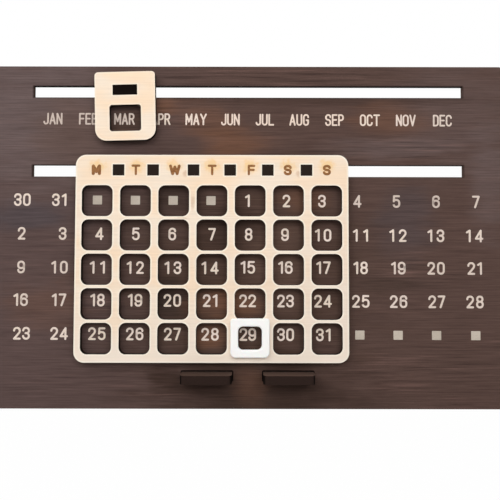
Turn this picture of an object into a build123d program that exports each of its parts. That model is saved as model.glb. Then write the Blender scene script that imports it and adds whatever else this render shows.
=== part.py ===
from build123d import *
from math import cos, radians, sin, tan
import os

# A perpetual desk calendar, in millimetres and degrees. A wooden board leans back on a foot.
# A month slider and a date grid run in two slots across the board, each held by a keeper
# behind it, and a white ring marks the day by sitting in one of the grid's windows.
# X runs along the board, +Z is up and the front faces -Y. The origin is the middle of the
# board's bottom edge, on the desk.

# The board
board_length = 300.0
board_height = 200.0
board_thickness = 3.0
board_corner = 2.0
lean = 12.0  # of the board from the vertical

# The layout of the days and months on the board
days_shown = 7
weeks_shown = 5
day_columns = 13
month_count = 12
column_overhang = 6.0  # of the outer day columns' middles past the ends of the slots

# The two slots
slot_side = 23.4  # from a slot's end to the board's side edge
slot_height = 6.9
slot_drop = 18.5  # from the board's top edge to the month slot's lower wall
slot_spacing = 46.9  # from one slot's lower wall to the other's
end_play = 1.4  # that a slider runs on past its last place

# What runs in the slots
tongue_thickness = 6.0  # of the month slider's tongue
comb_thickness = 6.4
tongue_seat = 0.1  # between a tongue or comb and its slot's lower wall
plate_thickness = 3.6
keeper_thickness = 3.0
keeper_lap = 4.5  # of a keeper over the board, above and below its slot
keeper_corner = 3.0
running_gap = 0.4  # between the board and what slides along its faces
tenon_clearance = 0.05  # round a glued tenon in its mortise

# The date grid
column_set = 3  # the day column that its first window shows
column_drift = 1.35  # that it is set off by
grid_top = 8.8  # from the comb's middle to the top edge
grid_header = 8.9  # from the comb's middle to the first week's windows
grid_side = 3.7  # from the outer windows to the side edges
grid_bottom = 4.75  # from the last week's windows to the bottom edge
grid_over_foot = 5.9  # from the foot's tongues to the bottom edge
grid_corner = 6.0
day_bar = 4.35  # between two days' windows
week_bar = 1.85  # between two weeks' windows
window_corner = 4.0
comb_tooth = 6.6
tooth_shifts = (1.1, -1.0, 0.3, -0.6, -0.9, -0.6)  # of the teeth from midway between two days
comb_heel = 12.0
heel_count = 3
heel_end = 9.4  # from the outer heels to the ends of the comb
date_keeper_end = 10.0  # past each end of the comb

# The month slider
month_set = 3  # the month that it shows
month_drift = 0.9  # that it is set off by
month_tilt = 1.5  # that it hangs askew by, in the play of its slot
month_tongue_length = 22.0
month_plate_length = 35.2
month_plate_top = 10.65  # from the tongue's middle to the top edge
month_plate_bottom = 29.7  # from the tongue's middle to the bottom edge
month_top_corner = 2.2
month_bottom_corner = 6.8
month_window_length = 18.3
month_window_height = 15.45
month_window_corner = 1.6
month_window_drop = 16.55  # from the tongue's middle to the window's
month_tenon = 14.2
month_keeper_end = 4.0  # past each end of the tongue

# The day marker
marker_day = 5  # counted from the left of the grid
marker_week = 5  # counted from the top of the grid
marker_lip = 2.35  # of the flange past the window's sides
marker_end_lip = 2.15  # of the flange past the window's top and bottom, on average
marker_rise = 0.55  # of the flange up the board, off the collar's middle
marker_rim = 4.5  # of the flange round its hole
marker_top_corner = 1.6
marker_bottom_corner = 3.0
marker_hole_corner = 2.8
marker_flange = 2.2
marker_collar = 3.0
marker_wall = 1.1  # of the collar
marker_edge = 0.8
marker_lead = 0.4  # chamfer that leads the collar into a window
marker_clearance = 0.15  # round the collar in a window

# The foot
foot_rise = 16.2  # of its underside up the board
foot_thickness = 5.0
foot_width = 110.0
foot_land = 12.0  # length of the flat that stands on the desk
foot_corner = 10.0
foot_tongue = 29.2
foot_tongue_pitch = 47.0
foot_reach = 10.5  # of its tongues in front of the board
foot_tongue_corner = 3.0
foot_top_gap = 0.3  # over its tongues in their mortises

# The slots, and the pitches that let the sliders reach each column and month in them
slot_length = board_length - 2 * slot_side
month_slot_rise = board_height - slot_drop
date_slot_rise = month_slot_rise - slot_spacing
slide_depth = board_thickness + 2 * running_gap
day_pitch = (slot_length + 2 * column_overhang) / (day_columns - 1)
month_pitch = (slot_length - month_tongue_length - 2 * end_play) / (month_count - 1)

# The date grid, from the foot's tongues up to its comb
comb_rise = date_slot_rise + tongue_seat + comb_thickness / 2
grid_height = comb_rise + grid_top - foot_rise - foot_thickness - grid_over_foot
week_pitch = (grid_height + week_bar - grid_top - grid_header - grid_bottom) / weeks_shown
window_length = day_pitch - day_bar
window_height = week_pitch - week_bar
first_day = -(days_shown - 1) / 2 * day_pitch  # the windows' middles, from the comb's
first_week = -grid_header - window_height / 2
grid_length = window_length + 2 * (grid_side - first_day)
comb_length = slot_length - (day_columns - days_shown) * day_pitch - 2 * end_play
heel_pitch = (comb_length - comb_heel) / 2 - heel_end
tooth_places = [first_day + (tooth + 0.5) * day_pitch + shift for tooth, shift in enumerate(tooth_shifts)]

# Where the two sliders are along the board
date_place = (column_set - (day_columns + 1) / 2) * day_pitch - first_day + column_drift
month_place = (month_set - (month_count + 1) / 2) * month_pitch + month_drift

keeper_height = slot_height + 2 * keeper_lap
foot_depth = foot_rise / tan(radians(lean)) + foot_land

# The front of the board: x along it, y up it, z out of it. The board stands on its bottom
# edge, which is cut flat to the desk, with the origin in the middle of the cut.
front = Plane(
    origin=(0, -board_thickness / 2 / cos(radians(lean)), 0),
    x_dir=(1, 0, 0),
    z_dir=(0, -cos(radians(lean)), sin(radians(lean))),
)


def slider_frame(place, rise, turn=0.0):
    """The plane of the board's front, moved to a tongue's middle and turned with the slider."""
    middle = front.from_local_coords(Vector(place, rise, 0))
    along = front.x_dir * cos(turn) + front.y_dir * sin(turn)
    return Plane(origin=middle, x_dir=along, z_dir=front.z_dir)


def underside(frame, below):
    """The plane square to the board at a height below a frame's middle, with y to the back."""
    middle = frame.from_local_coords(Vector(0, -below, 0))
    return Plane(origin=middle, x_dir=frame.x_dir, z_dir=frame.y_dir)


# An askew tongue stands on its lower corner, so its middle is higher than a level one's
month_turn = radians(month_tilt)
month_lift = month_tongue_length / 2 * sin(month_turn) + tongue_thickness / 2 * cos(month_turn)
month_frame = slider_frame(month_place, month_slot_rise + tongue_seat + month_lift, month_turn)
date_frame = slider_frame(date_place, comb_rise)

os.makedirs("parts", exist_ok=True)

# The board, with its slots, the foot's mortises and a bottom edge cut flat to the desk
with BuildPart() as board:
    with BuildSketch(front):
        with Locations((0, board_height / 2)):
            RectangleRounded(board_length, board_height, board_corner)
        with Locations((0, date_slot_rise), (0, month_slot_rise)):
            Rectangle(slot_length, slot_height, align=(Align.CENTER, Align.MIN), mode=Mode.SUBTRACT)
        with Locations((0, foot_rise - tenon_clearance)):
            with GridLocations(foot_tongue_pitch, 0, 2, 1):
                Rectangle(
                    foot_tongue + 2 * tenon_clearance,
                    foot_thickness + tenon_clearance + foot_top_gap,
                    align=(Align.CENTER, Align.MIN),
                    mode=Mode.SUBTRACT,
                )
    extrude(amount=-board_thickness)
    split(bisect_by=Plane.XY, keep=Keep.TOP)
board.part.label = "board"
export_step(board.part, "parts/board.step")

# The foot, a plate square to the board whose two tongues go through it and stand out in
# front. Its underside reaches the desk behind the board and is cut flat there.
with BuildPart() as stand_foot:
    with BuildSketch(underside(front, -foot_rise)) as foot_outline:
        with Locations((0, board_thickness)):
            Rectangle(foot_width, foot_depth - board_thickness, align=(Align.CENTER, Align.MIN))
        fillet(foot_outline.vertices().group_by(Axis.Y)[-1], foot_corner)
        with Locations((0, board_thickness)):
            with GridLocations(foot_tongue_pitch, 0, 2, 1):
                Rectangle(foot_tongue, foot_reach + board_thickness, align=(Align.CENTER, Align.MAX))
        fillet(foot_outline.vertices().group_by(Axis.Y)[0], foot_tongue_corner)
    extrude(amount=foot_thickness)
    split(bisect_by=Plane.XY, keep=Keep.TOP)
stand_foot.part.label = "stand_foot"
export_step(stand_foot.part, "parts/stand_foot.step")

# The month slider's plate, with its window and the mortise for its tongue
with BuildPart() as month_plate:
    with BuildSketch(month_frame.offset(running_gap)) as month_outline:
        with Locations((0, month_plate_top)):
            Rectangle(
                month_plate_length,
                month_plate_top + month_plate_bottom,
                align=(Align.CENTER, Align.MAX),
            )
        fillet(month_outline.vertices().group_by(Axis.Y)[-1], month_top_corner)
        fillet(month_outline.vertices().group_by(Axis.Y)[0], month_bottom_corner)
        Rectangle(
            month_tenon + 2 * tenon_clearance,
            tongue_thickness + 2 * tenon_clearance,
            mode=Mode.SUBTRACT,
        )
        with Locations((0, -month_window_drop)):
            RectangleRounded(
                month_window_length, month_window_height, month_window_corner, mode=Mode.SUBTRACT
            )
    extrude(amount=plate_thickness)
month_plate.part.label = "month_plate"
export_step(month_plate.part, "parts/month_plate.step")

# The month slider's tongue. Its body runs in the slot, and its shoulders hold the plate and
# the keeper clear of the board. A tenon at each end goes through them and ends flush.
with BuildPart() as month_tongue:
    with BuildSketch(underside(month_frame, tongue_thickness / 2)):
        with Locations((0, -running_gap)):
            Rectangle(month_tongue_length, slide_depth, align=(Align.CENTER, Align.MIN))
        with Locations((0, -running_gap - plate_thickness)):
            Rectangle(
                month_tenon,
                plate_thickness + slide_depth + keeper_thickness,
                align=(Align.CENTER, Align.MIN),
            )
    extrude(amount=tongue_thickness)
month_tongue.part.label = "month_tongue"
export_step(month_tongue.part, "parts/month_tongue.step")

# The month slider's keeper, behind the board
with BuildPart() as month_keeper:
    with BuildSketch(month_frame.offset(-board_thickness - running_gap)):
        RectangleRounded(month_tongue_length + 2 * month_keeper_end, keeper_height, keeper_corner)
        Rectangle(
            month_tenon + 2 * tenon_clearance,
            tongue_thickness + 2 * tenon_clearance,
            mode=Mode.SUBTRACT,
        )
    extrude(amount=-keeper_thickness)
month_keeper.part.label = "month_keeper"
export_step(month_keeper.part, "parts/month_keeper.step")

# The date grid, a plate with a window for each day and a row of mortises in its header
with BuildPart() as date_grid:
    with BuildSketch(date_frame.offset(running_gap)):
        with Locations((0, grid_top - grid_height / 2)):
            RectangleRounded(grid_length, grid_height, grid_corner)
        with Locations(*[(place, 0) for place in tooth_places]):
            Rectangle(
                comb_tooth + 2 * tenon_clearance,
                comb_thickness + 2 * tenon_clearance,
                mode=Mode.SUBTRACT,
            )
        with Locations((0, first_week - (weeks_shown - 1) / 2 * week_pitch)):
            with GridLocations(day_pitch, week_pitch, days_shown, weeks_shown):
                RectangleRounded(window_length, window_height, window_corner, mode=Mode.SUBTRACT)
    extrude(amount=plate_thickness)
date_grid.part.label = "date_grid"
export_step(date_grid.part, "parts/date_grid.step")

# The date grid's comb. Its long body runs in the slot, its teeth key into the grid's header
# from behind and end flush with its face, and its heels key into the keeper.
with BuildPart() as date_comb:
    with BuildSketch(underside(date_frame, comb_thickness / 2)):
        with Locations((0, -running_gap)):
            Rectangle(comb_length, slide_depth, align=(Align.CENTER, Align.MIN))
        with Locations(*[(place, -running_gap) for place in tooth_places]):
            Rectangle(comb_tooth, plate_thickness, align=(Align.CENTER, Align.MAX))
        with Locations((0, board_thickness + running_gap)):
            with GridLocations(heel_pitch, 0, heel_count, 1):
                Rectangle(comb_heel, keeper_thickness, align=(Align.CENTER, Align.MIN))
    extrude(amount=comb_thickness)
date_comb.part.label = "date_comb"
export_step(date_comb.part, "parts/date_comb.step")

# The date grid's keeper, a rail behind the board
with BuildPart() as date_keeper:
    with BuildSketch(date_frame.offset(-board_thickness - running_gap)):
        RectangleRounded(comb_length + 2 * date_keeper_end, keeper_height, keeper_corner)
        with GridLocations(heel_pitch, 0, heel_count, 1):
            Rectangle(
                comb_heel + 2 * tenon_clearance,
                comb_thickness + 2 * tenon_clearance,
                mode=Mode.SUBTRACT,
            )
    extrude(amount=-keeper_thickness)
date_keeper.part.label = "date_keeper"
export_step(date_keeper.part, "parts/date_keeper.step")

# The day marker, a moulded ring. Its flange lies on the grid, and its thin collar sits in a
# window, set back behind the flange's hole.
marker_x = first_day + (marker_day - 1) * day_pitch
marker_y = first_week - (marker_week - 1) * week_pitch
marker_middle = date_frame.from_local_coords(Vector(marker_x, marker_y, running_gap + plate_thickness))
marker_frame = Plane(origin=marker_middle, x_dir=front.x_dir, z_dir=front.z_dir)
outwards = Axis(marker_middle, front.z_dir)
flange_length = window_length + 2 * marker_lip
flange_height = window_height + 2 * marker_end_lip
hole_length = flange_length - 2 * marker_rim
hole_height = flange_height - 2 * marker_rim
collar_length = window_length - 2 * marker_clearance
collar_height = window_height - 2 * marker_clearance
collar_corner = window_corner - marker_clearance
bore_length = collar_length - 2 * marker_wall
bore_height = collar_height - 2 * marker_wall
with BuildPart() as day_marker:
    with BuildSketch(marker_frame) as flange_outline:
        with Locations((0, marker_rise)):
            Rectangle(flange_length, flange_height)
        fillet(flange_outline.vertices().group_by(Axis.Y)[-1], marker_top_corner)
        fillet(flange_outline.vertices().group_by(Axis.Y)[0], marker_bottom_corner)
        with Locations((0, marker_rise)):
            RectangleRounded(hole_length, hole_height, marker_hole_corner, mode=Mode.SUBTRACT)
    extrude(amount=marker_flange)
    with BuildSketch(marker_frame):
        RectangleRounded(collar_length, collar_height, collar_corner)
        RectangleRounded(bore_length, bore_height, collar_corner - marker_wall, mode=Mode.SUBTRACT)
    extrude(amount=-marker_collar)
    fillet(day_marker.faces().sort_by(outwards)[-1].edges(), marker_edge)
    chamfer(day_marker.faces().sort_by(outwards)[0].outer_wire().edges(), marker_lead)
day_marker.part.label = "day_marker"
export_step(day_marker.part, "parts/day_marker.step")
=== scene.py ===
"""The looks of a perpetual desk calendar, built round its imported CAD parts.

Objects are in metres. What is drawn on the wood, and the materials, are in millimetres of the
board's own coordinates: x along the board, u up it from the desk and n out of its face.
"""

from math import ceil, cos, pi, radians, sin, tan

import bpy
from mathutils import Matrix, Vector


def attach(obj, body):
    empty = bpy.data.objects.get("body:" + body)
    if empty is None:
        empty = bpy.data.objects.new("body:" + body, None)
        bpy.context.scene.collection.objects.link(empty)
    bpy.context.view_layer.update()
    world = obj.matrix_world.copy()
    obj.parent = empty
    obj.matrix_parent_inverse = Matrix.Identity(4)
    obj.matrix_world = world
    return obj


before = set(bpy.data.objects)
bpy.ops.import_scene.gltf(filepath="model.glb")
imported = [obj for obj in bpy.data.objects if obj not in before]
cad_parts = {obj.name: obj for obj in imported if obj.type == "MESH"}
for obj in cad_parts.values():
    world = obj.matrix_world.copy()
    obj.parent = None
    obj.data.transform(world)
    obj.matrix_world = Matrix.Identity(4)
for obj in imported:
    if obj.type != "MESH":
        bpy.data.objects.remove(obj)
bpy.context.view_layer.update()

MM = 0.001
FAR = 1000.0  # a pitch, for what isn't repeated

# The board, as in the CAD
LEAN = radians(12)
BOARD_THICKNESS = 3.0
SLOT_LENGTH = 253.2
SLOT_HEIGHT = 6.9
SLOT_CORNER = 0.2
SLOT_RISES = (134.6, 181.5)  # of the slots' lower walls
MORTISE = (29.2, 5.3)
MORTISE_RISE = 16.2  # of the foot's mortises' lower walls
MORTISE_PITCH = 47.0
ALONG = Vector((1, 0, 0))
UP = Vector((0, sin(LEAN), cos(LEAN)))
OUT = Vector((0, -cos(LEAN), sin(LEAN)))
ORIGIN = Vector((0, -BOARD_THICKNESS / 2 / cos(LEAN), 0)) * MM  # of the board's front face

# The date grid, as in the CAD
GRID_PLACE = -20.75  # of its middle along the board
COMB_RISE = 137.9  # of the comb's middle
GRID_TOP = 8.8  # from the comb's middle to the top edge
GRID_SIZE = (157.75, 119.6)
GRID_CORNER = 6.0
DAY_PITCH = 22.1
WEEK_PITCH = 19.8
DAYS = 7
WEEKS = 5
WINDOW = (17.75, 17.95)
WINDOW_CORNER = 4.0
WINDOWS_DROP = 57.475  # from the comb's middle to the windows'
TOOTH = (6.6, 6.4)
TOOTH_CORNER = 0.1
TOOTH_SHIFTS = (1.1, -1.0, 0.3, -0.6, -0.9, -0.6)  # of the comb's teeth from midway between days
PLATE_FACE = 4.0  # out from the board's face to the plates'

# The month plate, as in the CAD
MONTH_PLACE = -71.77  # of its tongue's middle along the board
MONTH_RISE = 184.89
MONTH_TURN = radians(1.5)
MONTH_TENON = (14.2, 6.0)
MONTH_TENON_CORNER = 0.1
MONTH_LENGTH = 35.2
MONTH_TOP = 10.65  # from the tongue's middle to the top edge
MONTH_BOTTOM = 29.7  # from the tongue's middle to the bottom edge
MONTH_CORNERS = (2.2, 6.8)  # at the top and at the bottom
MONTH_WINDOW = (18.3, 15.45)
MONTH_WINDOW_CORNER = 1.6
MONTH_WINDOW_DROP = 16.55  # from the tongue's middle to the window's

# What is printed on the board
DAY_COLUMNS = 13
FIRST_DAY_COLUMN = 6  # of the 1st in the first week's row, counted from 0
LAST_DAY = 31
PRINT_PITCH = 22.0
PRINT_WEEK_PITCH = 19.45
PRINT_MIDDLE = 81.6  # of the days, up the board
PRINT_TURN = radians(-0.2)
PRINT_THICKNESS = 0.04
DAY_HEIGHT = 7.4
DAY_PEN = 1.18
DAY_GAP = 1.15  # between two digits
DAY_GAPS = {  # in the days whose digits are further apart or closer
    10: 2.3, 11: 3.2, 12: 2.7, 13: 2.5, 14: 2.4, 22: 0.8, 23: 0.8, 24: 0.9, 27: 0.9, 29: 0.6, 30: 0.8,
}
BLANK_SIZE = (5.4, 5.2)
BLANK_CORNER = 0.3
DAY_DRIFTS = (  # by which the print is off its columns, by week and column
    (-0.2, -0.6, -0.25, 0, 0.1, 0.25, -0.45, 0.4, -0.8, -2.05, -1.2, 0, 1.35),
    (-0.2, 1.75, 1.25, 0.5, -0.2, 1.0, 0.4, -0.4, -0.1, -0.3, -0.4, -0.25, 0.35),
    (-0.1, 0.25, 0.3, 0.4, 0.35, 0, 0, -0.1, 0.1, -0.25, -0.3, -0.3, 0.2),
    (0, 0.35, 0.7, 0.5, 0.2, 0.2, 0, 0, -0.2, -0.2, -0.2, 0, 0.2),
    (0.95, 0.8, 0.65, 0.6, 0.5, 0.3, 0.2, 0.1, 0, -0.8, -0.6, -0.3, 0.45),
)
DAY_DROPS = (  # by which stretches of the print are low: week, first column, end and drop
    (1, 0, 8, 0.3),
    (1, 8, 13, 0.5),
    (2, 0, 6, 0.48),
)
MONTHS = "JAN FEB MAR APR MAY JUN JUL AUG SEP OCT NOV DEC".split()
MONTH_PITCH = 20.8
MONTHS_RISE = 168.45
MONTH_HEIGHT = 6.95
MONTH_PEN = 0.98
MONTH_GAP = 0.35
MONTH_STRETCH = 0.93
MONTH_DRIFTS = (-0.5, -0.5, 0, 0.6, 0.6, 0, -0.5, -1.1, -1.1, -1.05, -0.7, 0)  # off their pitch

# What is burnt into the grid's header
WEEKDAYS = "MTWTFSS"
WEEKDAY_SHIFTS = (-0.7, 0.05, 0.55, 0.05, 0.7, -0.4, 0.15)  # from the windows below
WEEKDAY_RISE = 137.95
WEEKDAY_HEIGHT = 6.2
WEEKDAY_PEN = 1.35
WEEKDAY_PENS = {"M": 1.9, "W": 1.7, "S": 1.5}
WEEKDAY_STRETCH = 1.45

# Tones, each as a screen shows it, from 0 to 255
TONES = {
    # The board's stain, with its patches, streaks and cut walls, and the painted sheen, light and shadow on
    # it
    "board": (86, 67, 61),
    # Painted sheen: lighter and greyer towards the board's left end.
    "board_left_sheen": (90, 73, 70),
    "board_wall": (24, 17, 14),
    # Painted light: a lighter tone on the board's cut walls that face along it, such as the slots' ends,
    # which the lamps leave in shade.
    "board_end_lit": (72, 55, 48),
    # Painted shadow: near black round the foot's mortises, for the shadow in the gap round its tongues.
    "mortise": (9, 6, 5),
    "dark_streak": (36, 26, 24),
    "light_streak": (138, 106, 98),
    "soot": (54, 44, 39),
    "dark": (62, 47, 41),
    "umber": (76, 58, 49),
    "slate": (79, 70, 72),
    "brown": (94, 73, 64),
    "grey": (104, 89, 87),
    "rust": (112, 79, 62),
    # The foot, the comb and the month slider's tongue, with painted shade on the foot's walls that face
    # along the board
    "foot": (86, 68, 60),
    "foot_wall": (46, 34, 30),
    # Painted shade: the foot's walls that face along the board, such as its tongues' rounded ends, darker
    # than its other walls.
    "foot_end_shade": (18, 13, 11),
    "comb": (24, 18, 15),
    "comb_wall": (42, 34, 29),
    "tongue": (18, 13, 11),
    "tongue_wall": (18, 12, 9),
    # The pale plates, with a painted highlight along their edges, and what is burnt into them
    "pale": (246, 219, 189),
    "pale_patch": (243, 225, 204),
    # Darker and greyer towards the lower right: partly the wood's own tone, partly painted shade.
    "pale_right": (228, 211, 197),
    "pale_low": (241, 228, 214),
    # Painted highlight: lighter along the plates' edges.
    "pale_rim_highlight": (250, 240, 224),
    "pale_wall": (28, 17, 10),
    "pore": (200, 165, 130),
    "halo": (243, 202, 138),
    "smudge": (190, 142, 98),
    "burn": (130, 86, 51),
    "light_burn": (168, 120, 77),
    # The day marker
    "white": (255, 254, 251),
    "white_speck": (252, 251, 247),
    # The print
    "print": (235, 217, 205),
    "old_print": (229, 212, 195),
    "blank": (196, 184, 170),
    "old_blank": (184, 172, 157),
    "wear": (150, 128, 112),
    "worn": (195, 178, 167),
    "faded": (209, 192, 180),
    "fresh": (231, 209, 193),
}

# Patches of other tones: x and u of the middle, reach along and up the board, depth and tone
PATCH_EDGE = (1.15, 0.25)  # where a patch ends and where it is full, in shares of its reach
FAINT = 0.3
CLEAR = 0.5
STRONG = 0.8
BOARD_STAINS_SHADE_AND_SHEEN = (
    # Painted shade: the board darker behind the grid's windows, where the windows' walls shade it.
    (-8, 76, 96, 76, STRONG, "umber"),
    # Painted shade: the board darker under the grid's bottom edge and round the foot's tongues.
    (8, 6, 82, 24, STRONG, "dark"),
    # Painted sheen: the board lighter and greyer at its upper left, where the lamp's light glances off it.
    (-128, 168, 62, 52, STRONG, "grey"),
    (122, 172, 44, 44, FAINT, "grey"),
    (-128, 111, 40, 10, STRONG, "slate"),
    (-118, 60, 30, 17, FAINT, "rust"),
    (92, 108, 22, 26, CLEAR, "slate"),
    (84, 72, 32, 6, FAINT, "soot"),
    (44, 180, 130, 4, CLEAR, "dark"),
    (84, 152, 46, 9, CLEAR, "grey"),
    (16, 82, 22, 42, STRONG, "brown"),
    (-44, 121, 22, 13, CLEAR, "soot"),
    (-10, 106, 22, 15, STRONG, "dark"),
    (-46, 64, 13, 14, STRONG, "soot"),
    (30, 122, 19, 10, CLEAR, "rust"),
    (-10, 60, 28, 12, STRONG, "rust"),
    (-22, 41, 13, 9, STRONG, "rust"),
    (-8, 154, 26, 9, STRONG, "rust"),
    (2, 14, 13, 14, FAINT, "rust"),
    (-104, 160, 30, 28, CLEAR, "brown"),
    (-70, 166, 18, 14, STRONG, "umber"),
    (-24, 168, 24, 14, CLEAR, "rust"),
    (82, 168, 30, 12, CLEAR, "rust"),
    (142, 133, 16, 40, CLEAR, "grey"),
    (-47, 17, 14, 11, STRONG, "dark"),
    (-50, 177, 12, 7, STRONG, "rust"),
)
PRINT_TONES = (
    (-120, 168.5, 85, 12, 0.9, "worn"),
    (24, 168.5, 75, 12, 0.9, "fresh"),
    (118, 168.5, 40, 12, 0.7, "faded"),
    (-122, 82, 34, 50, 0.8, "faded"),
    (114, 78, 50, 42, 0.8, "faded"),
    (100, 120.5, 58, 8, 0.9, "worn"),
)
SMUDGES = (
    (-35.6, 135.8, 2.4, 2.4, 0.4, "smudge"),
    (-31.9, 119.3, 1.8, 5, 0.4, "smudge"),
    (-38.1, 109.8, 5, 1.3, 0.4, "smudge"),
    (29.3, 135.6, 2, 2.4, 0.4, "smudge"),
)
STREAKED = ((16, 193, 100, 11), (84, 151, 60, 12), (106, 22, 50, 20))  # where the streaks are strong

# The camera, a little below square to the board
CAMERA_DISTANCE = 300.0
CAMERA_AIM = (1.26, 98.7)
CAMERA_TURN_DOWN = radians(2.1)  # of its line of sight from square to the board
CAMERA_ROLL = radians(0.1)
CAMERA_LENS = 36.99
CAMERA_SENSOR = 36.0
CAMERA_SHIFT = -0.024
CAMERA_NEAR = 10.0  # from which on it sees things

# The room, in metres and watts
FLOOR_SIZE = 8.0
FLOOR_PLACE = (0, 1, 0)
FLOOR_GREY = 0.6
FLOOR_WHITENESS = 0.985  # of the floor, where the camera or a reflection sees it
ROOM_LIGHT = 0.22
WHITE = (1, 1, 1, 1)
LAMP_AIM = 100.0  # how high up the board the lamps shine, in millimetres
LAMP_DISTANCE = 1.3
LAMPS = (  # name, direction from the board, size and power
    ("left_softbox", OUT - ALONG * 0.65 + UP, 1.5, 13.3),
    ("right_softbox", OUT + ALONG * 0.6 + UP * 0.6, 0.7, 6.1),
    ("back_softbox", UP * 0.9 - OUT - ALONG * 0.42, 1.5, 15),
)

# The edges of the pieces
EDGE_ANGLE = radians(40)  # from which an edge is broken
EDGE_SEGMENTS = 2
WELD_REACH = 0.001  # within which points are one

# Pen strokes on a grid 6 high and centred on x. A corner with a third number is rounded to that
# radius. A stroke breaks at the other corners, and one that ends where it starts is a ring.
DIGITS = {
    "0": [[(0, 0), (1.6, 0, 1.5), (1.6, 6, 1.5), (-1.6, 6, 1.5), (-1.6, 0, 1.5), (0, 0)]],
    "1": [[(-1.0, 5.0), (0.6, 6), (0.6, 0)]],
    "2": [[(-1.6, 4.5), (-1.6, 6, 1.45), (1.6, 6, 1.5), (1.6, 3.7, 2.2), (-1.55, 0), (1.6, 0)]],
    "3": [
        [(-1.6, 4.6), (-1.6, 6, 1.35), (1.6, 6, 1.45), (1.6, 3.1, 1.4), (-0.3, 3.1)],
        [(-0.3, 3.1), (1.6, 3.1, 1.4), (1.6, 0, 1.5), (-1.6, 0, 1.5), (-1.6, 1.5)],
    ],
    "4": [[(0.85, 0), (0.85, 6), (-1.85, 1.5), (1.75, 1.5)]],
    "5": [
        [(1.45, 6), (-1.3, 6), (-1.5, 3.1)],
        [(-1.5, 3.1), (-0.9, 3.9, 0.7), (1.6, 3.9, 1.5), (1.6, 0, 1.5), (-1.6, 0, 1.5), (-1.6, 1.4)],
    ],
    "6": [
        [(1.55, 4.6), (1.6, 6, 1.3), (-1.6, 6, 1.5), (-1.6, 0, 1.5), (1.6, 0, 1.5), (1.6, 3.6, 1.4),
         (-1.6, 3.6, 1.3), (-1.6, 2.2)],
    ],
    "7": [[(-1.6, 6), (1.6, 6), (-0.5, 0)]],
    "8": [
        [(0, 3.15), (1.45, 3.15, 1.3), (1.45, 6, 1.3), (-1.45, 6, 1.3), (-1.45, 3.15, 1.3), (0, 3.15)],
        [(0, 3.15), (1.6, 3.15, 1.4), (1.6, 0, 1.5), (-1.6, 0, 1.5), (-1.6, 3.15, 1.4), (0, 3.15)],
    ],
    "9": [
        [(-1.55, 1.4), (-1.6, 0, 1.3), (1.6, 0, 1.5), (1.6, 6, 1.5), (-1.6, 6, 1.5), (-1.6, 2.4, 1.4),
         (1.6, 2.4, 1.3), (1.6, 3.8)],
    ],
}
LETTERS = {
    "A": [[(-1.5, 0), (0, 6), (1.5, 0)], [(-1, 1.9), (1, 1.9)]],
    "B": [
        [(-1.3, 3.1), (-1.3, 6), (0, 6), (1.3, 6, 1.3), (1.3, 3.1, 1.3), (-1.3, 3.1)],
        [(-1.3, 3.1), (-1.3, 0), (0, 0), (1.4, 0, 1.4), (1.4, 3.1, 1.4), (0, 3.1)],
    ],
    "C": [[(1.4, 4.6), (1.4, 6, 1.35), (-1.4, 6, 1.4), (-1.4, 0, 1.4), (1.4, 0, 1.35), (1.4, 1.4)]],
    "D": [[(0, 0), (-1.3, 0), (-1.3, 6), (0, 6), (1.4, 6, 1.4), (1.4, 0, 1.4), (0, 0)]],
    "E": [[(1.3, 6), (-1.3, 6), (-1.3, 0), (1.3, 0)], [(-1.3, 3.1), (1, 3.1)]],
    "F": [[(1.3, 6), (-1.3, 6), (-1.3, 0)], [(-1.3, 3.1), (1, 3.1)]],
    "G": [
        [(1.4, 4.6), (1.4, 6, 1.35), (-1.4, 6, 1.4), (-1.4, 0, 1.4), (1.4, 0, 1.35), (1.4, 2.8), (0.3, 2.8)],
    ],
    "J": [[(1.1, 6), (1.1, 0, 1.2), (-1.3, 0, 1.1), (-1.3, 1.2)]],
    "L": [[(-1.2, 6), (-1.2, 0), (1.4, 0)]],
    "M": [[(-1.7, 0), (-1.7, 6), (0, 1.6), (1.7, 6), (1.7, 0)]],
    "N": [[(-1.4, 0), (-1.4, 6), (1.4, 0), (1.4, 6)]],
    "O": [[(0, 0), (1.45, 0, 1.45), (1.45, 6, 1.45), (-1.45, 6, 1.45), (-1.45, 0, 1.45), (0, 0)]],
    "P": [[(-1.3, 0), (-1.3, 6), (0, 6), (1.3, 6, 1.3), (1.3, 2.9, 1.3), (-1.3, 2.9)]],
    "R": [
        [(-1.3, 0), (-1.3, 6), (0, 6), (1.3, 6, 1.3), (1.3, 3, 1.3), (-1.3, 3)],
        [(0.2, 3), (1.5, 0)],
    ],
    "S": [
        [(1.4, 4.7), (1.4, 6, 1.25), (-1.4, 6, 1.4), (-1.4, 3.1, 1.4), (1.4, 3.1, 1.4), (1.4, 0, 1.4),
         (-1.4, 0, 1.25), (-1.4, 1.3)],
    ],
    "T": [[(-1.6, 6), (1.6, 6)], [(0, 6), (0, 0)]],
    "U": [[(-1.4, 6), (-1.4, 0, 1.4), (1.4, 0, 1.4), (1.4, 6)]],
    "V": [[(-1.5, 6), (0, 0), (1.5, 6)]],
    "W": [[(-2.3, 6), (-1.2, 0), (0, 5.2), (1.2, 0), (2.3, 6)]],
    "Y": [[(-1.6, 6), (0, 2.8), (1.6, 6)], [(0, 2.8), (0, 0)]],
}
GLYPH_HEIGHT = 6
ARC_STEP = radians(18)
CAP_ANGLES = [radians(angle) for angle in (78, 52, 26)]
PEN_EDGE = 0.12  # of a stroke's sloping edge, in millimetres


def on_board(x, u, n=0.0, turn=0.0):
    """The matrix that puts a drawing in millimetres on the board's face."""
    axes = Matrix((ALONG, UP, OUT)).transposed().to_4x4()
    place = Matrix.Translation(ORIGIN + (x * ALONG + u * UP + n * OUT) * MM)
    return place @ axes @ Matrix.Rotation(turn, 4, "Z") @ Matrix.Scale(MM, 4)


def centred(index, count, pitch):
    """How far a copy in a row is from the row's middle."""
    return (index - (count - 1) / 2) * pitch


# Lettering


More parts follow.
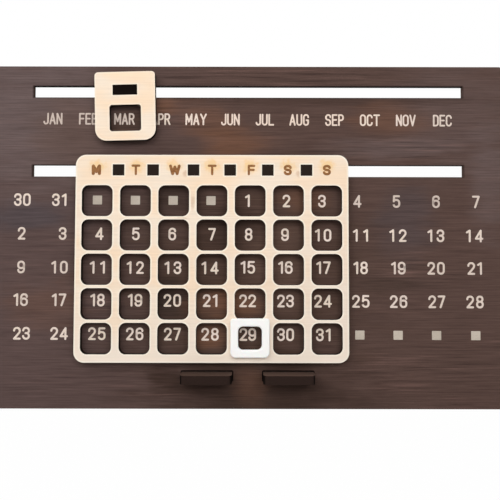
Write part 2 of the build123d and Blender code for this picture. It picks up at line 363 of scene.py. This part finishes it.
def arc(before, corner, after, radius):
    """The points of the arc that rounds a corner."""
    back = (before - corner).normalized()
    ahead = (after - corner).normalized()
    half = back.angle(ahead) / 2
    middle = corner + (back + ahead).normalized() * radius / sin(half)
    spoke = corner + back * radius / tan(half) - middle
    sweep = (pi - 2 * half) * (-1 if back.cross(ahead) > 0 else 1)
    steps = ceil(abs(sweep) / ARC_STEP)
    return [middle + Matrix.Rotation(sweep * step / steps, 2) @ spoke for step in range(steps + 1)]


def pen_lines(stroke):
    """A stroke's lines of points, one for each run between sharp corners."""
    corners = [Vector(corner[:2]) for corner in stroke]
    lines = [[corners[0]]]
    for index in range(1, len(stroke) - 1):
        if len(stroke[index]) == 3:
            lines[-1] += arc(corners[index - 1], corners[index], corners[index + 1], stroke[index][2])
        else:
            lines[-1].append(corners[index])
            lines.append([corners[index]])
    lines[-1].append(corners[-1])
    return lines


def ribbon(points, half):
    """The rows of a pen line: each its middle, its direction to the left and its half width."""
    rows = []
    ring = len(points) > 2 and (points[0] - points[-1]).length < half / 10
    for index, point in enumerate(points):
        before = points[index - 1] if index else (points[-2] if ring else point)
        after = points[index + 1] if index + 1 < len(points) else (points[1] if ring else point)
        rows.append((point, (after - before).normalized().orthogonal(), half))
    if ring:
        return rows
    first, left = points[0], rows[0][1]
    last, last_left = points[-1], rows[-1][1]
    start = [
        (first + left.orthogonal() * half * sin(angle), left, half * cos(angle)) for angle in CAP_ANGLES
    ]
    end = [
        (last - last_left.orthogonal() * half * sin(angle), last_left, half * cos(angle))
        for angle in reversed(CAP_ANGLES)
    ]
    return start + rows + end


def text_lines(text, glyphs, height, pen, gap, stretch=1.0):
    """The pen lines of a text in millimetres, with its ink centred on the origin."""
    scale = (height - pen) / GLYPH_HEIGHT
    lines, cursor = [], 0.0
    for letter in text:
        runs = [line for stroke in glyphs[letter] for line in pen_lines(stroke)]
        runs = [[Vector((p.x * stretch, p.y - GLYPH_HEIGHT / 2)) * scale for p in run] for run in runs]
        left = min(p.x for run in runs for p in run) - pen / 2
        right = max(p.x for run in runs for p in run) + pen / 2
        shift = Vector((cursor - left, 0))
        lines += [[p + shift for p in run] for run in runs]
        cursor += right - left + gap
    middle = Vector(((cursor - gap) / 2, 0))
    return [[p - middle for p in run] for run in lines]


class Drawing:
    """A mesh of flat marks on the wood, collected in board coordinates."""

    def __init__(self, name):
        self.name = name
        self.points = []
        self.faces = []

    def add_strip(self, rows, place):
        """Joins rows of points, each from left to right, into a strip."""
        start = len(self.points)
        width = len(rows[0])
        self.points += [place @ point for row in rows for point in row]
        for row in range(len(rows) - 1):
            for column in range(width - 1):
                corner = start + row * width + column
                self.faces.append((corner, corner + 1, corner + width + 1, corner + width))

    def add_text(self, lines, pen, place):
        """Draws pen lines, each a hair thicker than the one it crosses."""
        for index, line in enumerate(lines):
            top = PRINT_THICKNESS * (1 + index / 20)
            rows = []
            for middle, left, half in ribbon(line, pen / 2):
                inner = max(half - PEN_EDGE, 0)
                across = ((half, 0), (inner, top), (-inner, top), (-half, 0))
                rows.append([Vector((*(middle + left * side), rise)) for side, rise in across])
            self.add_strip(rows, place)

    def add_patch(self, size, corner, place):
        """Draws a filled rectangle with rounded corners."""
        x, y = size[0] / 2, size[1] / 2
        outline = [(0, -y), (x, -y, corner), (x, y, corner), (-x, y, corner), (-x, -y, corner), (0, -y)]
        edge = pen_lines(outline)[0]
        inner = 1 - PEN_EDGE / min(x, y)
        rows = [[Vector((*p, 0)), Vector((*(p * inner), PRINT_THICKNESS)), Vector((0, 0, PRINT_THICKNESS))]
                for p in reversed(edge)]
        self.add_strip(rows, place)

    def finish(self, material, slot, body):
        """Makes the mesh, which then moves with a body."""
        mesh = bpy.data.meshes.new(self.name)
        mesh.from_pydata(self.points, [], self.faces)
        mesh.materials.append(material)
        piece = bpy.data.objects.new(self.name, mesh)
        bpy.context.collection.objects.link(piece)
        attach(piece, body)


def day_at(week, column):
    """The day printed in a week's row, or None where a blank is. The first row ends the month too."""
    day = DAYS * week + column - FIRST_DAY_COLUMN + 1
    if day < 1:
        day += DAYS * WEEKS
    return day if day <= LAST_DAY else None


def print_days(material, blank_material):
    """The days, and the squares where a month has none."""
    days = Drawing("printed_days")
    blanks = Drawing("printed_blanks")
    middle = on_board(0, PRINT_MIDDLE, turn=PRINT_TURN)
    for week in range(WEEKS):
        for column in range(DAY_COLUMNS):
            x = centred(column, DAY_COLUMNS, PRINT_PITCH) + DAY_DRIFTS[week][column]
            y = -centred(week, WEEKS, PRINT_WEEK_PITCH)
            y -= sum(drop for row, first, end, drop in DAY_DROPS if week == row and first <= column < end)
            place = middle @ Matrix.Translation((x, y, 0))
            day = day_at(week, column)
            if day is None:
                blanks.add_patch(BLANK_SIZE, BLANK_CORNER, place)
            else:
                gap = DAY_GAPS.get(day, DAY_GAP)
                days.add_text(text_lines(str(day), DIGITS, DAY_HEIGHT, DAY_PEN, gap), DAY_PEN, place)
    days.finish(material, "print", "base")
    blanks.finish(blank_material, "print", "base")


def print_months(material):
    """The months' short names in a row under their slot."""
    names = Drawing("printed_months")
    middle = on_board(0, MONTHS_RISE, turn=PRINT_TURN)
    for index, (month, drift) in enumerate(zip(MONTHS, MONTH_DRIFTS)):
        x = centred(index, len(MONTHS), MONTH_PITCH) + drift
        place = middle @ Matrix.Translation((x, 0, 0))
        lines = text_lines(month, LETTERS, MONTH_HEIGHT, MONTH_PEN, MONTH_GAP, MONTH_STRETCH)
        names.add_text(lines, MONTH_PEN, place)
    names.finish(material, "print", "base")


def burn_weekdays(material):
    """The weekdays' letters, burnt into the grid's header over its windows."""
    letters = Drawing("burnt_weekdays")
    for index, (weekday, shift) in enumerate(zip(WEEKDAYS, WEEKDAY_SHIFTS)):
        x = GRID_PLACE + centred(index, DAYS, DAY_PITCH) + shift
        pen = WEEKDAY_PENS.get(weekday, WEEKDAY_PEN)
        lines = text_lines(weekday, LETTERS, WEEKDAY_HEIGHT, pen, 0, WEEKDAY_STRETCH)
        letters.add_text(lines, pen, on_board(x, WEEKDAY_RISE, PLATE_FACE))
    letters.finish(material, "light_wood", "date_slider")


# Materials


def colour(tone):
    """A tone by its name, as the linear colour that a shader takes."""
    shares = [channel / 255 for channel in TONES[tone]]
    linear = [share / 12.92 if share <= 0.04045 else ((share + 0.055) / 1.055) ** 2.4 for share in shares]
    return (*linear, 1)


class Finish:
    """A material's node tree, with short calls for the nodes that the finishes share."""

    def __init__(self, name):
        self.material = bpy.data.materials.new(name)
        self.material.use_nodes = True
        self.tree = self.material.node_tree
        self.shader = self.tree.nodes["Principled BSDF"]

    def node(self, kind, *values, **settings):
        """Adds a node. Each value is an input's number, colour or vector, or another's output."""
        node = self.tree.nodes.new(kind)
        for setting, value in settings.items():
            setattr(node, setting, value)
        sockets = [socket for socket in node.inputs if socket.enabled]
        for socket, value in zip(sockets, values):
            self.set(socket, value)
        return node

    def set(self, socket, value):
        """Gives a socket a value, or links it to an output."""
        if isinstance(value, bpy.types.NodeSocket):
            self.tree.links.new(value, socket)
        else:
            socket.default_value = value

    def math(self, operation, *values, clamp=False):
        """The result of an operation on numbers."""
        return self.node("ShaderNodeMath", *values, operation=operation, use_clamp=clamp).outputs[0]

    def vector(self, operation, *values):
        """The result of an operation on vectors."""
        node = self.node("ShaderNodeVectorMath", *values, operation=operation)
        return node.outputs["Value" if operation in ("LENGTH", "DOT_PRODUCT") else "Vector"]

    def part(self, vector, axis):
        """A vector's X, Y or Z."""
        return self.node("ShaderNodeSeparateXYZ", vector).outputs["XYZ".index(axis)]

    def ease(self, value, start, end):
        """0 up to a start, 1 past an end, and smooth between them. The start may be the larger."""
        low, high = min(start, end), max(start, end)
        eased = self.node("ShaderNodeMapRange", value, low, high, interpolation_type="SMOOTHSTEP").outputs[0]
        return eased if start < end else self.math("SUBTRACT", 1.0, eased)

    def noise(self, vector, scale, detail=3.0, roughness=0.5):
        """Noise from 0 to 1, with a scale for each axis in features per millimetre."""
        stretched = self.vector("MULTIPLY", vector, scale)
        node = self.node("ShaderNodeTexNoise", stretched)
        node.inputs["Scale"].default_value = 1.0
        node.inputs["Detail"].default_value = detail
        node.inputs["Roughness"].default_value = roughness
        return node.outputs["Fac"]

    def mix(self, share, first, second, blend="MIX"):
        """The first colour, turning into the second as the share goes from 0 to 1."""
        node = self.node("ShaderNodeMix", data_type="RGBA", blend_type=blend)
        for socket, value in zip([s for s in node.inputs if s.enabled], (share, first, second)):
            self.set(socket, value)
        return next(s for s in node.outputs if s.enabled)

    def shaded(self, tone, shade):
        """A colour times a shade."""
        grey = self.node("ShaderNodeCombineColor", shade, shade, shade).outputs[0]
        return self.mix(1.0, tone, grey, "MULTIPLY")

    def bump(self, height, distance, strength=1.0):
        """Bumps the surface by a height from 0 to 1, times a distance in millimetres."""
        node = self.node("ShaderNodeBump")
        node.inputs["Strength"].default_value = strength
        node.inputs["Distance"].default_value = distance * MM
        self.set(node.inputs["Height"], height)
        self.set(self.shader.inputs["Normal"], node.outputs["Normal"])

    def board_place(self):
        """Where a point is in board coordinates, in millimetres."""
        place = self.node("ShaderNodeTexCoord").outputs["Object"]
        turned = self.node("ShaderNodeMapping", place)
        turned.inputs["Location"].default_value = (0, BOARD_THICKNESS / 2 * tan(LEAN), -BOARD_THICKNESS / 2)
        turned.inputs["Rotation"].default_value = (LEAN - pi / 2, 0, 0)
        turned.inputs["Scale"].default_value = (1 / MM,) * 3
        return turned.outputs["Vector"]

    def local_place(self, place, x, u, turn=0.0):
        """A place in the coordinates of a drawing that sits on the board at x and u."""
        turned = self.node("ShaderNodeMapping", place, vector_type="TEXTURE")
        turned.inputs["Location"].default_value = (x, u, 0)
        turned.inputs["Rotation"].default_value = (0, 0, turn)
        return turned.outputs["Vector"]

    def cut_wall(self, across):
        """1 on the walls that were cut through a sheet, and 0 on its faces."""
        normal = self.node("ShaderNodeTexCoord").outputs["Normal"]
        facing = self.math("ABSOLUTE", self.vector("DOT_PRODUCT", normal, across))
        return self.ease(facing, 0.85, 0.55)

    def outside(self, place, size, corner):
        """How far a place is outside a rounded rectangle round the origin, less than 0 inside."""
        core = (size[0] / 2 - corner, size[1] / 2 - corner, 0)
        flat = self.vector("ABSOLUTE", self.vector("MULTIPLY", place, (1, 1, 0)))
        past = self.vector("SUBTRACT", flat, core)
        length = self.vector("LENGTH", self.vector("MAXIMUM", past, (0, 0, 0)))
        depth = self.math("MAXIMUM", self.part(past, "X"), self.part(past, "Y"))
        return self.math("SUBTRACT", self.math("ADD", length, self.math("MINIMUM", depth, 0.0)), corner)

    def nearest(self, place, pitch, counts):
        """A place from the nearest copy in a pattern with a pitch and a count each way."""
        shift = tuple(step / 2 if count % 2 == 0 else 0 for step, count in zip(pitch, counts))
        half = tuple(step / 2 for step in pitch)
        moved = self.vector("ADD", place, (*(h + s for h, s in zip(half, shift)), 0))
        copy = self.vector("SUBTRACT", self.vector("SNAP", moved, (*pitch, 1)), (*shift, 0))
        limit = tuple((count - 1) / 2 * step for step, count in zip(pitch, counts))
        copy = self.vector("MINIMUM", self.vector("MAXIMUM", copy, (-limit[0], -limit[1], 0)), (*limit, 0))
        return self.vector("SUBTRACT", self.vector("MULTIPLY", place, (1, 1, 0)), copy)


def near_patch(finish, place, x, u, reach, rise, wander):
    """1 in a patch round x and u with a wandering edge, and 0 away from it."""
    near = finish.vector("MULTIPLY", finish.local_place(place, x, u), (1 / reach, 1 / rise, 0))
    return finish.ease(finish.math("ADD", finish.vector("LENGTH", near), wander), *PATCH_EDGE)


def patched(finish, place, surface, patches, wander):
    """A surface's colour, with patches of other tones in it."""
    for x, u, reach, rise, depth, tone in patches:
        share = finish.math("MULTIPLY", near_patch(finish, place, x, u, reach, rise, wander), depth)
        surface = finish.mix(share, surface, colour(tone))
    return surface


def stained(finish, place, stain):
    """The board's stain, with patches drawn out along the grain on its front, some of them painted shade and
    sheen, with streaks, and with painted shadow round the foot's mortises.
    """
    wander = finish.noise(place, (0.035, 0.12, 0.1), 3, 0.55)
    wander = finish.math("MULTIPLY_ADD", wander, 1.3, -0.65)
    front = finish.ease(finish.part(place, "Z"), -2, -1)
    stain = finish.mix(front, stain, patched(finish, place, stain, BOARD_STAINS_SHADE_AND_SHEEN, wander))
    gathered = finish.ease(finish.noise(place, (0.014, 0.04, 0.03), 2), 0.5, 0.7)
    for patch in STREAKED:
        gathered = finish.math("MAXIMUM", gathered, near_patch(finish, place, *patch, wander))
    streaks = finish.noise(place, (0.018, 0.55, 0.3), 4, 0.6)
    depth = finish.math("MULTIPLY_ADD", gathered, 0.55, 0.06)
    dark = finish.mix(0.7, stain, colour("dark_streak"))
    stain = finish.mix(finish.math("MULTIPLY", finish.ease(streaks, 0.5, 0.68), depth), stain, dark)
    light = finish.mix(0.5, stain, colour("light_streak"))
    stain = finish.mix(finish.math("MULTIPLY", finish.ease(streaks, 0.48, 0.3), depth), stain, light)
    # Painted shadow: a near-black ring on the board round the foot's mortises, standing in for the shadow in
    # the gap round its tongues.
    mortises = finish.local_place(place, 0, MORTISE_RISE + MORTISE[1] / 2)
    mortise = finish.nearest(mortises, (MORTISE_PITCH, FAR), (2, 1))
    soot = finish.ease(finish.outside(mortise, MORTISE, SLOT_CORNER), 0.75, 0.4)
    return finish.mix(soot, stain, colour("mortise"))


def slot_edge(finish, place):
    """How far a place is outside the board's slots, in millimetres."""
    low, high = SLOT_RISES
    slots = finish.local_place(place, 0, (low + high + SLOT_HEIGHT) / 2)
    slot = finish.nearest(slots, (FAR, high - low), (1, 2))
    return finish.outside(slot, (SLOT_LENGTH, SLOT_HEIGHT), SLOT_CORNER)


def dark_wood(name, base, wall, across=UP, left=None, end=None, marked=None):
    """Dark stained wood, with a fine grain along the board and charred walls across its sheet.

    The base may turn into a lighter, greyer tone towards the board's left end, which is a painted sheen. The
    walls that face along the board may have a tone of their own, painted light on the board's and painted
    shade on the foot's, and the stain may be marked by a function.
    """
    finish = Finish(name)
    place = finish.board_place()
    grain = finish.noise(place, (0.035, 1.2, 0.6), 6, 0.7)
    # Painted sheen: the stain turns lighter and greyer towards the board's left end.
    left_sheen_share = finish.ease(finish.part(place, "X"), 20, -150)
    stain = finish.mix(left_sheen_share, colour(base), colour(left or base))
    if marked:
        stain = marked(finish, place, stain)
    stain = finish.shaded(stain, finish.math("MULTIPLY_ADD", grain, 1.4, 0.3))
    soot = finish.math("MULTIPLY", finish.ease(slot_edge(finish, place), 0.9, 0.1), 0.45)
    stain = finish.mix(soot, stain, colour(wall))
    # On the board, the lighter tone of the walls that face along it is painted light; on the foot, the
    # darker one is painted shade.
    walls = finish.mix(finish.cut_wall(ALONG), colour(end), colour(wall)) if end else colour(wall)
    stain = finish.mix(finish.cut_wall(across), stain, walls)
    finish.set(finish.shader.inputs["Base Color"], stain)
    finish.set(finish.shader.inputs["Roughness"], finish.math("MULTIPLY_ADD", grain, 0.2, 0.6))
    finish.shader.inputs["Specular IOR Level"].default_value = 0.03
    finish.bump(grain, 0.06)
    return finish.material


def grid_edge(finish, place):
    """How far a place on the date grid is from its nearest edge, in millimetres."""
    middle = finish.local_place(place, GRID_PLACE, COMB_RISE + GRID_TOP - GRID_SIZE[1] / 2)
    edge = finish.math("MULTIPLY", finish.outside(middle, GRID_SIZE, GRID_CORNER), -1.0)
    windows = finish.local_place(place, GRID_PLACE, COMB_RISE - WINDOWS_DROP)
    window = finish.nearest(windows, (DAY_PITCH, WEEK_PITCH), (DAYS, WEEKS))
    edge = finish.math("MINIMUM", edge, finish.outside(window, WINDOW, WINDOW_CORNER))
    for index, shift in enumerate(TOOTH_SHIFTS):
        x = GRID_PLACE + centred(index, len(TOOTH_SHIFTS), DAY_PITCH) + shift
        tooth = finish.outside(finish.local_place(place, x, COMB_RISE), TOOTH, TOOTH_CORNER)
        edge = finish.math("MINIMUM", edge, tooth)
    return edge


def month_edge(finish, place):
    """How far a place on the month plate is from its nearest edge, in millimetres."""
    tongue = finish.local_place(place, MONTH_PLACE, MONTH_RISE, MONTH_TURN)
    spare = 20.0  # by which each outline runs on past the end that the other one rounds
    edge = finish.outside(tongue, MONTH_TENON, MONTH_TENON_CORNER)
    window = finish.local_place(tongue, 0, -MONTH_WINDOW_DROP)
    edge = finish.math("MINIMUM", edge, finish.outside(window, MONTH_WINDOW, MONTH_WINDOW_CORNER))
    height = MONTH_TOP + MONTH_BOTTOM + spare
    for corner, middle in zip(MONTH_CORNERS, (MONTH_TOP - height / 2, height / 2 - MONTH_BOTTOM)):
        outline = finish.outside(finish.local_place(tongue, 0, middle), (MONTH_LENGTH, height), corner)
        edge = finish.math("MINIMUM", edge, finish.math("MULTIPLY", outline, -1.0))
    return edge


def scorch(finish, place, wood):
    """The grid's wood, scorched yellow round the weekdays' letters and brown in a few smudges."""
    uneven = finish.noise(place, (0.35, 0.35, 0.35), 4, 0.6)
    wander = finish.math("MULTIPLY_ADD", uneven, 1.6, -0.8)
    letters = finish.local_place(place, GRID_PLACE, WEEKDAY_RISE + 2.4)
    near = finish.vector("MULTIPLY", finish.nearest(letters, (DAY_PITCH, FAR), (DAYS, 1)), (0.17, 0.2, 0))
    halo = finish.ease(finish.math("ADD", finish.vector("LENGTH", near), wander), 1.0, 0.3)
    wood = finish.mix(finish.math("MULTIPLY", halo, 0.7), wood, colour("halo"))
    return patched(finish, place, wood, SMUDGES, wander)


def pale_wood(name, edge_of, rim_highlight, marked=None):
    """Pale sanded wood with a faint grain and burnt cut walls.

    The rim highlight is how much lighter it is along the edges that a function finds, a painted highlight,
    and the wood may be marked by another.
    """
    finish = Finish(name)
    place = finish.board_place()
    x, u = finish.part(place, "X"), finish.part(place, "Y")
    grain = finish.noise(place, (0.02, 1.0, 0.7), 4, 0.6)
    pores = finish.noise(place, (0.03, 1.6, 1.0), 3, 0.7)
    patches = finish.noise(place, (0.03, 0.06, 0.05), 2, 0.5)
    wood = finish.mix(finish.ease(patches, 0.35, 0.65), colour("pale"), colour("pale_patch"))
    # Darker and greyer towards the lower right: partly the wood's own tone, partly painted shade where less
    # light falls.
    lower_right = finish.ease(finish.math("SUBTRACT", finish.math("MULTIPLY", x, 0.7), u), -150, 20)
    wood = finish.mix(finish.math("MULTIPLY", lower_right, 0.6), wood, colour("pale_right"))
    wood = finish.shaded(wood, finish.math("MULTIPLY_ADD", grain, 0.24, 0.88))
    line = finish.math("MULTIPLY", finish.ease(pores, 0.6, 0.75), 0.35)
    wood = finish.mix(line, wood, colour("pore"))
    if marked:
        wood = marked(finish, place, wood)
    low = finish.math("MULTIPLY", finish.ease(u, 60, 22), 0.6)
    wood = finish.mix(low, wood, colour("pale_low"))
    # Painted highlight: the wood lighter along its edges.
    edge = finish.math("MULTIPLY", finish.ease(edge_of(finish, place), 1.3, 0.3), rim_highlight)
    wood = finish.mix(edge, wood, colour("pale_rim_highlight"))
    wood = finish.mix(finish.cut_wall(OUT), wood, colour("pale_wall"))
    finish.set(finish.shader.inputs["Base Color"], wood)
    finish.shader.inputs["Roughness"].default_value = 0.6
    finish.shader.inputs["Specular IOR Level"].default_value = 0.25
    finish.bump(grain, 0.03)
    return finish.material


def white_plastic():
    """White moulded plastic with a satin gloss and a faint mould texture."""
    finish = Finish("white_plastic")
    place = finish.board_place()
    speck = finish.noise(place, (1.5, 1.5, 1.5), 3, 0.6)
    finish.set(finish.shader.inputs["Base Color"], finish.mix(speck, colour("white"), colour("white_speck")))
    finish.set(finish.shader.inputs["Roughness"], finish.math("MULTIPLY_ADD", speck, 0.1, 0.32))
    finish.shader.inputs["Subsurface Weight"].default_value = 0.1
    finish.shader.inputs["Subsurface Scale"].default_value = 1.0 * MM
    finish.bump(speck, 0.01)
    return finish.material


def worn_print(name, print_tone, old_tone, patches=()):
    """Pale print, older in places and in patches, and worn where the stain shows through."""
    finish = Finish(name)
    place = finish.board_place()
    age = finish.noise(place, (0.03, 0.05, 0.05), 2, 0.5)
    wear = finish.noise(place, (0.9, 1.4, 1.0), 4, 0.6)
    ink = finish.mix(finish.ease(age, 0.4, 0.62), colour(print_tone), colour(old_tone))
    ink = patched(finish, place, ink, patches, finish.math("MULTIPLY_ADD", age, 0.8, -0.4))
    ink = finish.mix(finish.math("MULTIPLY", finish.ease(wear, 0.5, 0.85), 0.5), ink, colour("wear"))
    finish.set(finish.shader.inputs["Base Color"], ink)
    finish.shader.inputs["Roughness"].default_value = 0.65
    finish.shader.inputs["Specular IOR Level"].default_value = 0.2
    finish.bump(wear, 0.02)
    return finish.material


def burnt_mark():
    """Wood burnt brown, blacker in places."""
    finish = Finish("burnt_mark")
    wear = finish.noise(finish.board_place(), (0.5, 0.8, 0.8), 4, 0.6)
    burn = finish.mix(finish.ease(wear, 0.3, 0.75), colour("burn"), colour("light_burn"))
    finish.set(finish.shader.inputs["Base Color"], burn)
    finish.shader.inputs["Roughness"].default_value = 0.8
    finish.shader.inputs["Specular IOR Level"].default_value = 0.1
    return finish.material


def dress(node, material, bevel=0.0):
    """Gives a CAD node its material and softly broken edges."""
    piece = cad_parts[node]
    for slot in piece.material_slots:
        slot.material = material
    if bevel:
        weld = piece.modifiers.new("weld", "WELD")
        weld.merge_threshold = WELD_REACH * MM
        edges = piece.modifiers.new("edges", "BEVEL")
        edges.width = bevel * MM
        edges.segments = EDGE_SEGMENTS
        edges.limit_method = "ANGLE"
        edges.angle_limit = EDGE_ANGLE
        piece.modifiers.new("shading", "WEIGHTED_NORMAL").keep_sharp = True


# The room


def pale_floor():
    """A pale floor. What looks at it straight or in a reflection sees it lit up to white."""
    bpy.ops.mesh.primitive_plane_add(size=FLOOR_SIZE, location=FLOOR_PLACE)
    floor = bpy.context.object
    floor.name = "floor"
    finish = Finish("floor")
    finish.shader.inputs["Base Color"].default_value = (FLOOR_GREY, FLOOR_GREY, FLOOR_GREY, 1)
    finish.shader.inputs["Roughness"].default_value = 0.9
    finish.shader.inputs["Specular IOR Level"].default_value = 0.0
    paths = finish.node("ShaderNodeLightPath").outputs
    seen = finish.math("ADD", paths["Is Camera Ray"], paths["Is Glossy Ray"], clamp=True)
    share = finish.math("MULTIPLY", seen, FLOOR_WHITENESS)
    white = finish.node("ShaderNodeEmission", WHITE, 1.0).outputs[0]
    mixed = finish.node("ShaderNodeMixShader", share, finish.shader.outputs[0], white).outputs[0]
    finish.set(finish.tree.nodes["Material Output"].inputs["Surface"], mixed)
    floor.data.materials.append(finish.material)


def softbox(name, direction, size, energy):
    """A round lamp that shines on the board from a direction."""
    lamp = bpy.data.lights.new(name, "AREA")
    lamp.shape = "DISK"
    lamp.size = size
    lamp.energy = energy
    box = bpy.data.objects.new(name, lamp)
    bpy.context.collection.objects.link(box)
    box.location = on_board(0, LAMP_AIM).translation + direction.normalized() * LAMP_DISTANCE
    box.rotation_euler = direction.to_track_quat("Z", "Y").to_euler()


def light_room():
    """A plain room that the camera sees as white, and the lamps in it."""
    world = bpy.data.worlds.new("room")
    bpy.context.scene.world = world
    world.use_nodes = True
    tree = world.node_tree
    room = tree.nodes["Background"]
    room.inputs["Color"].default_value = WHITE
    room.inputs["Strength"].default_value = ROOM_LIGHT
    seen = tree.nodes.new("ShaderNodeBackground")
    seen.inputs["Strength"].default_value = 1.0
    seen.inputs["Color"].default_value = WHITE
    paths = tree.nodes.new("ShaderNodeLightPath")
    share = tree.nodes.new("ShaderNodeMath")
    share.operation = "MAXIMUM"
    mixed = tree.nodes.new("ShaderNodeMixShader")
    tree.links.new(paths.outputs["Is Camera Ray"], share.inputs[0])
    tree.links.new(paths.outputs["Is Transmission Ray"], share.inputs[1])
    tree.links.new(share.outputs[0], mixed.inputs["Fac"])
    tree.links.new(room.outputs[0], mixed.inputs[1])
    tree.links.new(seen.outputs[0], mixed.inputs[2])
    tree.links.new(mixed.outputs[0], tree.nodes["World Output"].inputs["Surface"])

    for lamp in LAMPS:
        softbox(*lamp)


def add_camera():
    """The camera, in front of the board and turned to it from slightly below square."""
    lens = bpy.data.cameras.new("camera")
    lens.lens = CAMERA_LENS
    lens.sensor_width = CAMERA_SENSOR
    lens.shift_y = CAMERA_SHIFT
    lens.clip_start = CAMERA_NEAR * MM
    camera = bpy.data.objects.new("camera", lens)
    bpy.context.collection.objects.link(camera)
    aim = on_board(*CAMERA_AIM).translation
    back = OUT * cos(CAMERA_TURN_DOWN) - UP * sin(CAMERA_TURN_DOWN)
    up = OUT * sin(CAMERA_TURN_DOWN) + UP * cos(CAMERA_TURN_DOWN)
    axes = Matrix((ALONG, up, back)).transposed() @ Matrix.Rotation(CAMERA_ROLL, 3, "Z")
    camera.matrix_world = Matrix.Translation(aim + back * CAMERA_DISTANCE * MM) @ axes.to_4x4()
    bpy.context.scene.camera = camera


# The calendar

add_camera()
light_room()
pale_floor()

board_wood = dark_wood("board_wood", "board", "board_wall", OUT, "board_left_sheen", "board_end_lit", stained)
pale_month = pale_wood("month_wood", month_edge, 0.35)
pale_grid = pale_wood("grid_wood", grid_edge, 0.7, scorch)
dress("board", board_wood, bevel=0.15)
dress("stand_foot", dark_wood("foot_wood", "foot", "foot_wall", end="foot_end_shade"), bevel=0.25)
dress("month_keeper", board_wood, bevel=0.2)
dress("date_keeper", board_wood, bevel=0.2)
dress("month_tongue", dark_wood("charred_wood", "tongue", "tongue_wall"), bevel=0.1)
dress("date_comb", dark_wood("burnt_wood", "comb", "comb_wall"), bevel=0.1)
dress("month_plate", pale_month, bevel=0.2)
dress("date_grid", pale_grid, bevel=0.2)
dress("day_marker", white_plastic())

cream = worn_print("cream_print", "print", "old_print", PRINT_TONES)
print_days(cream, worn_print("grey_print", "blank", "old_blank"))
print_months(cream)
burn_weekdays(burnt_mark())

bpy.context.scene.view_settings.view_transform = "Standard"
